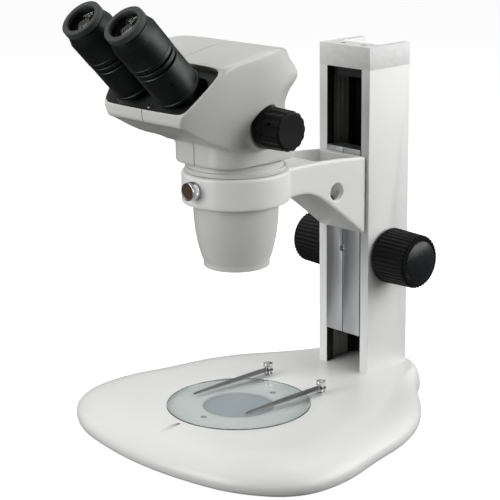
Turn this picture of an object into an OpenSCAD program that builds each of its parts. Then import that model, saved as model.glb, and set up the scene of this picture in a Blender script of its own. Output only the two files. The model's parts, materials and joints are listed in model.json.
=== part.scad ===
// Stereo microscope on a track stand.
// +Z is up and the desk is z = 0. The eyepieces face -Y and the column stands at +Y.
// The plane x = 0 divides the object into its left and right halves.
// Inside the modules y = 0 is the optical axis; on_axis() moves it to its place in the frame.

/* [Base] */
// Height of the stage surface above the desk
base_top_z = 27; // [26:0.5:30]
// Thickness of the rubber feet under the base
foot_h = 2; // [1.5:0.5:3]
// Diameter of the glass stage plate
plate_d = 131; // [120:1:132]
// Thickness of the glass stage plate
plate_t = 5; // [4:0.5:5]
// Diameter of the opening over the frosted disc
disc_window_d = 66; // [50:1:70]

/* [Column] */
// Width of the column
column_w = 63.2; // [62:0.2:66]
// Depth of the column
column_d = 54.8; // [54:0.2:58]
// Distance from the optical axis to the column's front face
column_front_y = 138; // [138:0.5:142]
// Height of the top of the column, under its cap
column_top_z = 317.7; // [312:0.1:330]
// Thickness of the column's cap
cap_h = 20.7; // [16:0.1:26]
// Width of the slot in the column's front
slot_w = 43.4; // [43:0.1:44]

/* [Focus drive] */
// Height of the focus shaft above the desk
focus_z = 140; // [130:1:150]
// Number of teeth on the pinion
pinion_teeth = 14; // [14:1:14]
// Diameter of the focus knobs where they are widest
focus_knob_d = 52.4; // [48:0.2:53]
// Distance from the middle plane to the outer end of a focus knob
focus_knob_end = 75; // [70:0.5:76]

/* [Arm] */
// Diameter of the bore that holds the microscope head
ring_bore_d = 76; // [76:1:76]
// Outer diameter of the holding ring
ring_d = 94.8; // [92:0.2:100]
// Height of the top of the holding ring
ring_top_z = 244.8; // [243:0.1:246]
// Height of the bottom of the holding ring
ring_bottom_z = 217; // [215:0.5:220]
// Width of the arm
arm_w = 57.4; // [54:0.2:60]
// Diameter of the cross hole for an accessory pin
cross_bore_d = 16; // [12:0.5:16]

/* [Head] */
// Height of the lower rim of the objective housing
bell_bottom_z = 158.4; // [156:0.1:164]
// Height of the zoom shaft above the desk
zoom_z = 289; // [287:0.5:290]
// Diameter of the zoom knobs
zoom_knob_d = 34.4; // [30:0.2:36]

/* [Eyepieces] */
// Distance between the eyepiece axes
pupil_distance = 54; // [54:1:56]
// Slope of the eye tubes above the horizontal
tube_tilt = 46.7; // [45:0.1:48]
// Length of an eye tube and eyepiece above the head
tube_len = 81; // [80:0.1:82]
// Outer diameter of an eyecup
eyecup_d = 39.8; // [39:0.1:40.4]

/* [Hidden] */
$fn = 64;

// gaps: between pieces that move past each other, and between a shaft and its bore
move_gap = 0.35;
fit_gap = 0.05;

// base: the outline's half, from the front centre to the rear centre
outline_half = [[0, -121], [56, -116], [106, -104], [149, -72], [156, -22], [143, 30],
                [136, 72], [120, 112], [92, 148], [64, 172], [44, 205], [0, 205]];
base_mid_y = 20;
base_rim_z = 8;
shoulder_front = 44;
shoulder_rear = 5;
cavity_inset = 13;
cavity_roof_z = 12;
foot_r = 11;
foot_boss_r = 9;
feet_at = [[112, -72], [74, 140]];
cover_t = 1.2;
cover_screws_at = [[-60, -60], [60, -60]];

// stage well, from the glass down to the frosted disc
plate_r = plate_d / 2;
plate_seat_z = base_top_z - plate_t + 0.3;
well_r = plate_r + 0.3;
liner_t = 2.5;
disc_t = 3;
disc_r = disc_window_d / 2 + 4;
stage_screw_y = 43;

// the plate's lock screw lies in a bore that rises towards the front
lock_tilt = 83;
lock_bore_r = 1.5;

// clips: post places, and the strip's length, height, fall to its tip and turn at rest
clip_x = 35;
clip_y = 71;
clip_len = 87;
clip_z = 31.6;
clip_t = 0.9;
clip_fall = 3.9;
clip_turn = -6;
clip_hole_r = 1.95;

// column and what slides in it
column_back_y = column_front_y + column_d;
lip_d = 9;
side_wall = 4.6;
cavity_x = column_w / 2 - side_wall;
cavity_front_y = column_front_y + lip_d;
cavity_back_y = column_back_y - 10;
rail_t = 2;
rail_d = 24;
bush_space_r = 7;
stop_block_h = 9.7;
bolt_places = [[-26.6, column_front_y + 4.5], [26.6, column_front_y + 4.5],
               [-22, column_back_y - 5], [22, column_back_y - 5]];
bolt_boss_r = 7;
cap_screw_x = 12.7;
cap_screw_y = column_front_y + 12;

// focus drive: module 1 teeth, so the pitch radius is half the tooth count in millimetres
pinion_r = pinion_teeth / 2;
focus_y = 165.9;
shaft_r = 4;
focus_start = column_w / 2 + 0.9;
focus_face = focus_knob_end - 4;
focus_tip_r = 25;
focus_taper = atan((focus_knob_d / 2 - focus_tip_r) / (focus_face - focus_start));
carriage_front_y = column_front_y - 1;
carriage_low_z = 62.8;
carriage_high_z = 243.2;
carriage_x = slot_w / 2 - 0.5;
carriage_back_t = 5.3;
rack_pitch_y = focus_y - pinion_r;
rack_low_z = 66;
rack_screw_z = [80, 180];

// arm and ring
ring_r = ring_d / 2;
ring_bore_r = ring_bore_d / 2;
arm_wall = 4.7;
arm_top_z = 243;
pocket_front_y = 76;
pocket_back_y = 130;
cross_y = 98.4;
cross_z = 211.5;
clamp_z = 233.3;
arm_bolt_z = [197, 225];

// head
barrel_r = ring_bore_r - fit_gap;
flange_z = ring_top_z + 0.4;
neck_z = 254;
thread_r = 23.6;
thread_len = 5.2;
cell_r = 25;
zoom_y = -8;
zoom_shaft_r = 4;
zoom_boss_end = 47.4;
zoom_knob_start = 48;
zoom_collar_r = 18.2;
objective_x = 11.5;
zoom_lens_x = 12;
zoom_lens_r = 8.5;
seam_gap = 0.12;
carrier_rod_y = 20;
rod_r = 2;

// eye tubes: w runs out along the tube, and w = 0 lies on the slanted face of the housing
tube_y = -86.4;
tube_z = 328.1;
tube_x = pupil_distance / 2;
plate_w = -6;
pivot_x = 24;
pivot_v = 21.3;
pivot_r = 3;
neck_r = 13.6;
sleeve_r = 16;
sleeve_bore_r = 15;
sleeve_end_w = 43;
tube_r = 20;
tube_end_w = 34.3;
ring_w0 = 36;
ring_h = 4;
eyepiece_w0 = 41.6;
eyepiece_r = 20.3;
chamfer_w = tube_len - 17;
collar_w = tube_len - 10;
collar_r = 16.8;
lens_w = tube_len - 9.5;
face_v = [-24.8, 23.2];
plate_screw_v = -17.3;

// half section of an eyecup: distance from the tube's axis, and height along it
cup_r = eyecup_d / 2;
cup_hole_r = 13.4;
cup_section = [[collar_r + fit_gap, tube_len - 8.5], [cup_r - 1.3, tube_len - 8.5],
               [cup_r - 0.7, tube_len - 7.4], [cup_r, tube_len - 1.4], [cup_r - 1.2, tube_len],
               [cup_hole_r + 0.8, tube_len], [cup_hole_r, tube_len - 0.8],
               [cup_hole_r, tube_len - 3.8], [collar_r + fit_gap, tube_len - 3.8]];

// the frame's origin is under the middle of the object's bounding box
cup_reach = max([for (p = cup_section) p[1] * cos(tube_tilt) + p[0] * sin(tube_tilt)]);
front_y = tube_y - cup_reach;
rear_y = base_mid_y + outline_r(180);
axis_y = -(front_y + rear_y) / 2;

module on_axis() {
    translate([0, axis_y, 0]) children();
}

module tube_frame() {
    translate([0, tube_y, tube_z]) rotate([90 - tube_tilt, 0, 0]) children();
}

// ---- outlines ----

function mirror_x(half) = [for (i = [len(half) - 2:-1:1]) [-half[i][0], half[i][1]]];

// corner cutting turns a few corner points into a smooth closed curve
function cut(p, n) = n == 0 ? p : cut([for (i = [0:len(p) - 1]) let (a = p[i],
    b = p[(i + 1) % len(p)]) each [0.75 * a + 0.25 * b, 0.25 * a + 0.75 * b]], n - 1);

function base_curve() = cut(concat(outline_half, mirror_x(outline_half)), 2);

// distance from the base's middle to its outline, seen at an angle from the front
function crossing(a, b, s, c) = let (d = [b[0] - a[0], b[1] - a[1]],
    den = s * d[1] + c * d[0]) abs(den) < 1e-9 ? 0 :
    let (t = -(a[0] * c + (a[1] - base_mid_y) * s) / den)
    t < 0 || t > 1 ? 0 : let (x = a[0] + t * d[0], y = a[1] + t * d[1] - base_mid_y)
    x * s - y * c;
function outline_r(ang) = let (s = sin(ang), c = cos(ang), p = base_curve())
    max([for (i = [0:len(p) - 1]) crossing(p[i], p[(i + 1) % len(p)], s, c)]);

steps = 72;
radii = [for (i = [0:steps - 1]) outline_r(360 * i / steps)];
function blend(t) = let (u = min(1, max(0, t))) u * u * (3 - 2 * u);
function shoulder(ang) = let (a = abs(ang > 180 ? 360 - ang : ang))
    shoulder_front + (shoulder_rear - shoulder_front) * blend((a - 118) / 44);
function base_ring(inset_part, inset_all, z) = [for (i = [0:steps - 1])
    let (a = 360 * i / steps, r = radii[i] - shoulder(a) * inset_part - inset_all)
    [r * sin(a), base_mid_y - r * cos(a), z]];
function base_level(th) = base_ring(1 - cos(th), 0, base_rim_z + (base_top_z - base_rim_z) * sin(th));

// a closed solid through rings of points that all have the same count
module loft(rings) {
    n = len(rings[0]);
    m = len(rings);
    points = [for (r = rings) each r];
    sides = [for (j = [0:m - 2]) for (i = [0:n - 1]) let (k = (i + 1) % n)
             each [[j * n + i, (j + 1) * n + i, j * n + k],
                   [j * n + k, (j + 1) * n + i, (j + 1) * n + k]]];
    low = [for (i = [0:n - 1]) i];
    high = [for (i = [n - 1:-1:0]) (m - 1) * n + i];
    polyhedron(points, concat(sides, [low, high]));
}

module rounded_box(x, y, r, h) {
    linear_extrude(h) union() {
        square([x, y - 2 * r], center = true);
        square([x - 2 * r, y], center = true);
        for (a = [-1, 1]) for (b = [-1, 1]) translate([a * (x / 2 - r), b * (y / 2 - r)]) circle(r);
    }
}

module ring(ro, ri, h) {
    difference() {
        cylinder(r = ro, h = h);
        translate([0, 0, -1]) cylinder(r = ri, h = h + 2);
    }
}

// ---- base ----

module base_solid() {
    loft([base_ring(0, 3, foot_h), base_ring(0, 0.8, foot_h + 2.4),
          base_ring(0, 0, base_rim_z), for (th = [15:15:90]) base_level(th)]);
}

module base_cavity() {
    difference() {
        translate([0, 0, foot_h - 1]) linear_extrude(cavity_roof_z - foot_h + 1)
            polygon([for (p = base_ring(0, cavity_inset, 0)) [p[0], p[1]]]);
        for (s = [-1, 1]) for (f = feet_at) translate([s * f[0], f[1], 0])
            cylinder(r = foot_boss_r, h = base_top_z);
        for (b = bolt_places) translate([b[0], b[1], 0]) cylinder(r = bolt_boss_r, h = base_top_z);
        for (c = cover_screws_at) translate([c[0], c[1], foot_h + cover_t + 0.1])
            cylinder(r = 5, h = base_top_z);
    }
}

module base_casting() {
    color("white") on_axis() difference() {
        base_solid();
        base_cavity();
        translate([0, 0, plate_seat_z]) cylinder(r = well_r, h = 20);
        translate([0, 0, plate_seat_z - liner_t]) cylinder(r = well_r, h = 10);
        translate([0, 0, plate_seat_z - liner_t - disc_t]) cylinder(r = disc_r + 0.3, h = 10);
        for (s = [-1, 1]) translate([0, s * stage_screw_y, cavity_roof_z - 1]) cylinder(r = 1.6, h = 20);
        for (s = [-1, 1]) translate([s * clip_x, clip_y, cavity_roof_z - 1]) cylinder(r = 3, h = 20);
        for (s = [-1, 1]) for (f = feet_at) translate([s * f[0], f[1], 0])
            cylinder(r = 3.5, h = foot_h + 6);
        for (b = bolt_places) translate([b[0], b[1], 0]) {
            cylinder(r = 3.3, h = 40);
            cylinder(r = 5.5, h = cavity_roof_z);
        }
        lock_groove();
        for (c = cover_screws_at) translate([c[0], c[1], foot_h]) cylinder(r = 1.6, h = 6);
    }
}

module at_lock() {
    translate([0, -plate_r + 3, plate_seat_z + 1.1]) rotate([lock_tilt, 0, 0]) children();
}

// a drilled groove that runs out towards the front and gives a driver its way in
module lock_groove() {
    at_lock() {
        cylinder(r = lock_bore_r, h = 20);
        translate([0, 0, 8]) cylinder(r = 2 * lock_bore_r, h = 60);
    }
}

module plate_lock_screw() {
    color("dimgray") on_axis() at_lock() translate([0, 0, 3.5]) difference() {
        cylinder(r = lock_bore_r - 0.06, h = 6);
        translate([0, 0, 4]) cylinder(r = 0.8, h = 3, $fn = 6);
    }
}

module base_cover() {
    color("gray") on_axis() difference() {
        translate([0, 0, foot_h]) linear_extrude(cover_t)
            polygon([for (p = base_ring(0, cavity_inset + 0.4, 0)) [p[0], p[1]]]);
        for (s = [-1, 1]) for (f = feet_at) translate([s * f[0], f[1], 0])
            cylinder(r = foot_boss_r + 0.4, h = 9);
        for (b = bolt_places) translate([b[0], b[1], 0]) cylinder(r = bolt_boss_r + 0.4, h = 9);
        for (c = cover_screws_at) translate([c[0], c[1], 0]) cylinder(r = 1.7, h = 9);
    }
}

module rubber_feet() {
    color("black") on_axis() for (s = [-1, 1]) for (f = feet_at) translate([s * f[0], f[1], 0]) {
        cylinder(r1 = foot_r - 0.6, r2 = foot_r, h = foot_h);
        cylinder(r = 3.45, h = foot_h + 5.5);
    }
}

module stage_liner() {
    color("whitesmoke") on_axis() translate([0, 0, plate_seat_z - liner_t]) difference() {
        ring(well_r - 0.2, disc_window_d / 2, liner_t - 0.2);
        for (s = [-1, 1]) translate([0, s * stage_screw_y, -1]) cylinder(r = 1.7, h = 9);
        for (s = [-1, 1]) translate([0, s * stage_screw_y, liner_t - 1.8])
            cylinder(r1 = 1.7, r2 = 3.3, h = 1.7);
    }
}

module stage_disc() {
    color("lightsteelblue") on_axis() translate([0, 0, plate_seat_z - liner_t - disc_t])
        cylinder(r = disc_r, h = disc_t - 0.1);
}

module base_screws() {
    color("silver") on_axis() {
        for (s = [-1, 1]) translate([0, s * stage_screw_y, plate_seat_z - 1.9]) {
            cylinder(r1 = 1.5, r2 = 3, h = 1.5);
            translate([0, 0, -6]) cylinder(r = 1.5, h = 6.5);
        }
        for (c = cover_screws_at) translate([c[0], c[1], 0.6]) {
            cylinder(r = 3, h = 1.3);
            cylinder(r = 1.5, h = 6);
        }
    }
}

module stage_glass() {
    color("lightcyan", 0.4) on_axis() translate([0, 0, plate_seat_z]) rotate_extrude($fn = 96)
        polygon([[0, 0], [plate_r - 0.6, 0], [plate_r, 0.6], [plate_r, plate_t - 0.6],
                 [plate_r - 0.6, plate_t], [0, plate_t]]);
}

// ---- stage clips ----

module clip_posts() {
    color("silver") on_axis() for (s = [-1, 1]) translate([s * clip_x, clip_y, cavity_roof_z + 1])
        difference() {
            union() {
                cylinder(r = 2.95, h = base_top_z - cavity_roof_z - 1);
                translate([0, 0, base_top_z - cavity_roof_z - 0.9]) cylinder(r = 4.2, h = 1.4);
                cylinder(r = 2.6, h = clip_z - cavity_roof_z - 1.1);
                cylinder(r = 1.9, h = clip_z + 2.3 - cavity_roof_z);
            }
            translate([0, 0, 8]) cylinder(r = 1.2, h = 30);
        }
}

// spring strip: a flat root round the post, then a blade that falls and narrows to its tip
function clip_ring(v, half_w, fall) = [[-half_w, -v, -fall], [half_w, -v, -fall],
                                       [half_w, -v, clip_t - fall], [-half_w, -v, clip_t - fall]];
module clip(s) {
    color("darkslategray") on_axis() translate([s * clip_x, clip_y, clip_z]) rotate([0, 0, clip_turn])
        difference() {
            union() {
                cylinder(r = 5, h = clip_t);
                loft([clip_ring(0, 4.6, 0), clip_ring(9, 4.2, 0), clip_ring(42, 3.9, clip_fall * 0.42),
                      clip_ring(62, 2.9, clip_fall * 0.68), clip_ring(clip_len - 3, 1.5, clip_fall * 0.96),
                      clip_ring(clip_len, 0.6, clip_fall)]);
            }
            translate([0, 0, -1]) cylinder(r = clip_hole_r, h = 9);
        }
}

module clip_left() { clip(-1); }
module clip_right() { clip(1); }

module clip_screw(s) {
    color("silver") on_axis() translate([s * clip_x, clip_y, clip_z + clip_t + 0.3]) {
        difference() {
            union() {
                cylinder(r = 3.2, h = 2.8);
                translate([0, 0, 2.8]) cylinder(r = 4.6, h = 3);
            }
            translate([0, 0, -1]) cylinder(r = 2.2, h = 3.4);
            for (i = [0:17]) rotate([0, 0, 20 * i]) translate([4.75, 0, 2.7]) cylinder(r = 0.35, h = 9);
        }
        translate([0, 0, -9]) cylinder(r = 1.15, h = 12);
    }
}

module clip_screw_left() { clip_screw(-1); }
module clip_screw_right() { clip_screw(1); }

// ---- column ----

module column() {
    color("white") on_axis() difference() {
        translate([-column_w / 2, column_front_y, base_top_z])
            cube([column_w, column_d, column_top_z - base_top_z]);
        translate([-slot_w / 2, column_front_y - 1, base_top_z - 1])
            cube([slot_w, lip_d + 2, column_top_z]);
        translate([-cavity_x, cavity_front_y, base_top_z - 1])
            cube([2 * cavity_x, cavity_back_y - cavity_front_y, column_top_z]);
        for (b = bolt_places) translate([b[0], b[1], base_top_z - 1]) cylinder(r = 2.5, h = 26);
        for (s = [-1, 1]) translate([s * column_w / 2, focus_y, focus_z]) rotate([0, 90, 0])
            cylinder(r = 6.5, h = 20, center = true);
    }
}

module column_bolts() {
    color("dimgray") on_axis() for (b = bolt_places) translate([b[0], b[1], cavity_roof_z - 5.2]) {
        cylinder(r = 5, h = 5);
        cylinder(r = 2.4, h = 36);
    }
}

module guide_rails() {
    color("dimgray") on_axis() for (s = [-1, 1]) difference() {
        translate([s > 0 ? cavity_x - rail_t : -cavity_x + 0.05, cavity_front_y + 0.3, base_top_z + 0.5])
            cube([rail_t - 0.05, rail_d, column_top_z - base_top_z - stop_block_h - 1]);
        for (i = [0:3]) translate([s * (cavity_x - rail_t), cavity_front_y + 3 + 6 * i, base_top_z - 1])
            cylinder(r = 0.8, h = column_top_z, $fn = 16);
        translate([s * cavity_x, focus_y, focus_z]) rotate([0, 90, 0])
            cylinder(r = bush_space_r, h = 12, center = true);
    }
}

// black channel behind the rails, round the back of the column's cavity
module column_back_liner() {
    color("black") on_axis() translate([0, 0, base_top_z + 0.1]) difference() {
        translate([-cavity_x + 0.1, cavity_front_y + rail_d + 0.5, 0])
            cube([2 * cavity_x - 0.2, cavity_back_y - cavity_front_y - rail_d - 0.6,
                  column_top_z - base_top_z - stop_block_h - 0.6]);
        translate([-cavity_x + rail_t, cavity_front_y, -1])
            cube([2 * (cavity_x - rail_t), cavity_back_y - cavity_front_y - 2, column_top_z]);
        translate([0, focus_y, focus_z - base_top_z]) rotate([0, 90, 0])
            cylinder(r = bush_space_r, h = 2 * cavity_x + 1, center = true);
    }
}

module stop_block() {
    color("dimgray") on_axis() difference() {
        translate([-cavity_x + 0.1, cavity_front_y + 0.1, column_top_z - stop_block_h])
            cube([2 * cavity_x - 0.2, cavity_back_y - cavity_front_y - 0.2, stop_block_h - 0.05]);
        for (s = [-1, 1]) translate([s * cap_screw_x, cap_screw_y, column_top_z - 20])
            cylinder(r = 1.6, h = 40);
    }
}

module column_cap() {
    color("white") on_axis() difference() {
        translate([-column_w / 2, column_front_y, column_top_z]) cube([column_w, column_d, cap_h]);
        translate([-23.5, column_front_y + 21.5, column_top_z + cap_h - 13]) cube([47, column_d, 20]);
        for (s = [-1, 1]) translate([s * cap_screw_x, cap_screw_y, 0]) {
            translate([0, 0, column_top_z - 1]) cylinder(r = 1.7, h = 40);
            translate([0, 0, column_top_z + cap_h - 2]) cylinder(r = 3.2, h = 4);
        }
    }
}

module cap_screws() {
    color("silver") on_axis() for (s = [-1, 1]) translate([s * cap_screw_x, cap_screw_y, 0]) {
        translate([0, 0, column_top_z + cap_h - 1.9]) cylinder(r = 2.9, h = 1.7);
        translate([0, 0, column_top_z - 8]) cylinder(r = 1.5, h = cap_h + 7);
    }
}

module shaft_bushes() {
    color("goldenrod") on_axis() for (s = [-1, 1]) translate([0, focus_y, focus_z]) rotate([0, s * 90, 0])
        translate([0, 0, cavity_x - 1.6]) ring(6.45, shaft_r + fit_gap, side_wall + 1.4);
}

// ---- focus drive ----

// straight-sided teeth of module 1: [angle offset, radius] pairs for one tooth
function gear_points(n, r) = [for (i = [0:n - 1])
    for (p = [[-6.6, -1.2], [-3.4, 0.95], [3.4, 0.95], [6.6, -1.2]])
    let (a = 360 / n * i + p[0] * 14 / n + 90) [(r + p[1]) * cos(a), (r + p[1]) * sin(a)]];

module pinion_shaft() {
    color("silver") on_axis() translate([0, focus_y, focus_z]) rotate([0, 90, 0]) {
        translate([0, 0, -66]) cylinder(r = shaft_r, h = 132);
        translate([0, 0, -9]) linear_extrude(18) polygon(gear_points(pinion_teeth, pinion_r));
    }
}

module focus_knob(s) {
    root_r = focus_knob_d / 2;
    rib_h = focus_face - focus_start - 4.6;
    color("#181818") on_axis() translate([0, focus_y, focus_z]) rotate([0, s * 90, 0]) difference() {
        translate([0, 0, focus_start]) union() {
            cylinder(r1 = root_r - 1.8, r2 = root_r, h = 2.4);
            translate([0, 0, 2.4]) cylinder(r1 = root_r - 0.5, r2 = focus_tip_r - 0.5, h = rib_h + 0.4);
            translate([0, 0, rib_h + 2.8]) cylinder(r1 = focus_tip_r - 0.5, r2 = focus_tip_r - 2, h = 1.8);
            for (i = [0:39]) rotate([0, 0, 9 * i]) translate([root_r - 1.3, 0, 2.6])
                rotate([0, -focus_taper, 0]) cylinder(r = 1.3, h = rib_h, $fn = 16);
        }
        cylinder(r = shaft_r + 0.02, h = 90);
        translate([0, 0, focus_face - 2]) cylinder(r = 20.2, h = 20);
    }
}

module focus_knob_left() { focus_knob(-1); }
module focus_knob_right() { focus_knob(1); }

module focus_knob_caps() {
    color("#202020") on_axis() for (s = [-1, 1]) translate([0, focus_y, focus_z]) rotate([0, s * 90, 0])
        translate([0, 0, focus_face - 1.95]) rotate_extrude()
            polygon([[0, 0], [20.1, 0], [20.1, 1.9], [18.8, 3.3], [15, 4.7], [9, 5.6], [0, 5.95]]);
}

// ---- carriage ----

module carriage() {
    color("lightgray") on_axis() difference() {
        union() {
            translate([-carriage_x, carriage_front_y, carriage_low_z])
                cube([2 * carriage_x, lip_d + 1.4, carriage_high_z - carriage_low_z]);
            translate([-cavity_x + rail_t + move_gap, cavity_front_y + move_gap, carriage_low_z])
                cube([2 * (cavity_x - rail_t - move_gap), carriage_back_t, carriage_high_z - carriage_low_z]);
        }
        translate([-0.6, carriage_front_y - 1, carriage_low_z - 1]) cube([1.2, 2, 300]);
        for (z = arm_bolt_z) translate([0, carriage_front_y - 1, z]) rotate([-90, 0, 0])
            cylinder(r = 3.1, h = 12);
        for (z = rack_screw_z) translate([0, cavity_front_y - 4, z]) rotate([-90, 0, 0])
            cylinder(r = 1.6, h = 20);
        translate([0, carriage_front_y - 1, focus_z + 6]) rotate([-90, 0, 0]) cylinder(r = 2.1, h = 8);
    }
}

// rack teeth of module 1, in mesh with the pinion at rest
module rack() {
    pitch = PI;
    count = floor((carriage_high_z - 3 - rack_low_z) / pitch);
    first = focus_z - pitch * (floor((focus_z - rack_low_z) / pitch) - 1) - pitch / 2;
    back = cavity_front_y + move_gap + carriage_back_t + 0.05;
    root = rack_pitch_y - 1.35;
    tip = root + 2.2;
    teeth = [for (i = [0:count - 2]) for (p = [[-1.12, root], [-0.42, tip], [0.42, tip], [1.12, root]])
             [p[1], first + pitch * i + p[0]]];
    color("dimgray") on_axis() difference() {
        translate([-7, 0, 0]) rotate([90, 0, 90]) linear_extrude(14)
            polygon(concat([[back, rack_low_z - 1], [root, rack_low_z - 1]], teeth,
                [[root, carriage_high_z - 3], [back, carriage_high_z - 3]]));
        for (z = rack_screw_z) translate([0, back - 4, z]) rotate([-90, 0, 0]) cylinder(r = 1.7, h = 20);
        for (z = rack_screw_z) translate([0, rack_pitch_y - 3.2, z]) rotate([-90, 0, 0])
            cylinder(r = 3, h = 9);
    }
}

module carriage_screws() {
    color("silver") on_axis() {
        for (z = rack_screw_z) translate([0, cavity_front_y - 3, z]) rotate([-90, 0, 0]) {
            cylinder(r = 1.5, h = rack_pitch_y - cavity_front_y);
            translate([0, 0, rack_pitch_y - cavity_front_y - 0.1]) cylinder(r = 2.8, h = 1.4);
        }
        for (z = arm_bolt_z) translate([0, pocket_back_y - 8.1, z]) rotate([-90, 0, 0]) difference() {
            union() {
                cylinder(r = 6.3, h = 8);
                cylinder(r = 3, h = 24);
            }
            translate([0, 0, -1]) cylinder(r = 2.9, h = 5, $fn = 6);
        }
    }
}

module stop_screw() {
    color("silver") on_axis() translate([0, carriage_front_y - 1.2, focus_z + 6]) rotate([-90, 0, 0])
        difference() {
            union() {
                cylinder(r = 3, h = 1.15);
                cylinder(r = 2, h = 7);
            }
            translate([-3.5, -0.35, -0.2]) cube([7, 0.7, 0.8]);
        }
}

// ---- arm ----

// the arm's outline seen from the side, in y and z: an arch runs down to the column
arm_side = [[30, ring_bottom_z - 1.5], [52, ring_bottom_z - 0.5], [64, ring_bottom_z - 1.4],
            [76, 210.5], [90, 200.6], [112, 183.8], [137, 164.5], [137, arm_top_z - 4.6],
            [100, arm_top_z - 1.2], [72, arm_top_z], [30, arm_top_z]];

module arm_web() {
    translate([-arm_w / 2, 0, 0]) rotate([90, 0, 90]) linear_extrude(arm_w) polygon(arm_side);
}

module arm_pocket() {
    translate([-arm_w / 2 + arm_wall, 0, 0]) rotate([90, 0, 90]) linear_extrude(arm_w - 2 * arm_wall)
        polygon([[pocket_front_y, 216.2], [pocket_front_y + 10, 210.2], [112, 190.2], [pocket_back_y, 177.7],
                 [pocket_back_y, 260], [pocket_front_y, 260]]);
}

module arm() {
    color("white") on_axis() difference() {
        union() {
            translate([0, 0, ring_bottom_z]) cylinder(r = ring_r, h = ring_top_z - ring_bottom_z, $fn = 96);
            arm_web();
            translate([0, -ring_r + 3, clamp_z]) rotate([90, 0, 0]) cylinder(r = 7, h = 4.2);
        }
        arm_pocket();
        translate([0, 0, ring_bottom_z - 5]) cylinder(r = ring_bore_r, h = 60, $fn = 96);
        translate([0, 0, clamp_z]) rotate([90, 0, 0]) cylinder(r = 3.05, h = 60);
        translate([0, cross_y, cross_z]) rotate([0, 90, 0])
            cylinder(r = cross_bore_d / 2, h = 80, center = true);
        for (z = arm_bolt_z) translate([0, pocket_back_y - 1, z]) rotate([-90, 0, 0])
            cylinder(r = 3.2, h = 12);
    }
}

module head_clamp_screw() {
    color("silver") on_axis() translate([0, -barrel_r - 0.1, clamp_z]) rotate([90, 0, 0]) difference() {
        union() {
            cylinder(r = 3, h = 12);
            translate([0, 0, 11]) cylinder(r = 8, h = 7.4);
        }
        for (i = [0:23]) rotate([0, 0, 15 * i]) translate([8.2, 0, 11.6]) cylinder(r = 0.5, h = 6, $fn = 16);
        translate([0, 0, 17.8]) cylinder(r = 6.6, h = 3);
    }
}

// ---- head ----

module head_barrel() {
    color("gainsboro") on_axis() rotate_extrude($fn = 96)
        polygon([[33, 207], [34, 207], [34, ring_bottom_z + 0.2], [barrel_r, ring_bottom_z + 0.2],
                 [barrel_r, flange_z], [44.4, flange_z], [44.4, flange_z + 3.4], [42.2, flange_z + 4],
                 [42.2, neck_z], [33, neck_z]]);
}

// outer line of the bell, from its lip up to the ring
function bell_r(t) = 28.4 + (37.7 - 28.4) * sin(90 * pow(t, 0.74));
bell_steps = 10;
module bell() {
    top = ring_bottom_z - 0.1;
    low = bell_bottom_z + 4;
    outer = [for (i = [0:bell_steps]) let (t = i / bell_steps) [bell_r(t), low + (top - low) * t]];
    inner = [for (i = [bell_steps:-1:2]) let (t = i / bell_steps)
             [min(34.05, bell_r(t) - 3), low + (top - low) * t]];
    color("gainsboro") on_axis() rotate_extrude($fn = 96)
        polygon(concat([[cell_r + 0.1, bell_bottom_z], [29.2, bell_bottom_z], [29.2, low]], outer, inner,
                       [[cell_r + 0.1, low + 8]]));
}

module objective_ring() {
    color("#282828") on_axis() translate([0, 0, bell_bottom_z + 0.3]) ring(cell_r, thread_r, thread_len);
}

module objective_cell() {
    color("#303030") on_axis() translate([0, 0, bell_bottom_z + 5.6]) difference() {
        cylinder(r = cell_r, h = 5);
        translate([0, 0, -1]) cylinder(r = cell_r - 0.8, h = 2);
        for (s = [-1, 1]) translate([s * objective_x, 0, -1]) cylinder(r = 9.6, h = 9);
        for (s = [-1, 1]) translate([0, s * carrier_rod_y, 3]) cylinder(r = rod_r, h = 9);
    }
}

module lens(r, bulge, edge) {
    rotate_extrude() polygon(concat([[0, -edge / 2 - bulge]],
        [for (i = [1:4]) [r * i / 4, -edge / 2 - bulge * (1 - i * i / 16)]],
        [for (i = [4:-1:1]) [r * i / 4, edge / 2 + bulge * (1 - i * i / 16)]],
        [[0, edge / 2 + bulge]]));
}

module objective_lenses() {
    color("thistle", 0.6) on_axis() for (s = [-1, 1]) translate([s * objective_x, 0, bell_bottom_z + 8.6])
        lens(9.5, 1.2, 2.6);
}

// inner casting: a ring on the barrel and two cheeks that carry the zoom shaft
module head_frame() {
    color("darkgray") on_axis() difference() {
        union() {
            translate([0, 0, neck_z + 0.1]) ring(36, 30.5, 6);
            for (s = [-1, 1]) translate([s * 31.5 - 2, -14, neck_z + 0.1])
                cube([4, 30, zoom_z + 8 - neck_z]);
            for (s = [-1, 1]) translate([0, s * carrier_rod_y, neck_z + 3.1])
                translate([-4, s > 0 ? -3 : -13, -3]) cube([8, 16, 6]);
        }
        translate([0, zoom_y, zoom_z]) rotate([0, 90, 0])
            cylinder(r = zoom_shaft_r + fit_gap, h = 90, center = true);
        for (s = [-1, 1]) translate([0, s * carrier_rod_y, 0]) cylinder(r = rod_r, h = 400);
    }
}

module zoom_guide_rods() {
    color("silver") on_axis() for (s = [-1, 1]) translate([0, s * carrier_rod_y, bell_bottom_z + 8.7])
        cylinder(r = rod_r - 0.01, h = neck_z - bell_bottom_z - 3);
}

module zoom_lens(z) {
    color("#404040") on_axis() translate([0, 0, z]) difference() {
        cylinder(r = 27, h = 6);
        for (s = [-1, 1]) translate([s * zoom_lens_x, 0, -1]) cylinder(r = zoom_lens_r, h = 9);
        for (s = [-1, 1]) translate([0, s * carrier_rod_y, -1]) cylinder(r = rod_r + fit_gap, h = 9);
    }
    color("thistle", 0.6) on_axis() for (s = [-1, 1]) translate([s * zoom_lens_x, 0, z + 3])
        lens(zoom_lens_r, 0.8, 3);
}

module zoom_lens_upper() { zoom_lens(236); }
module zoom_lens_lower() { zoom_lens(198); }

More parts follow.
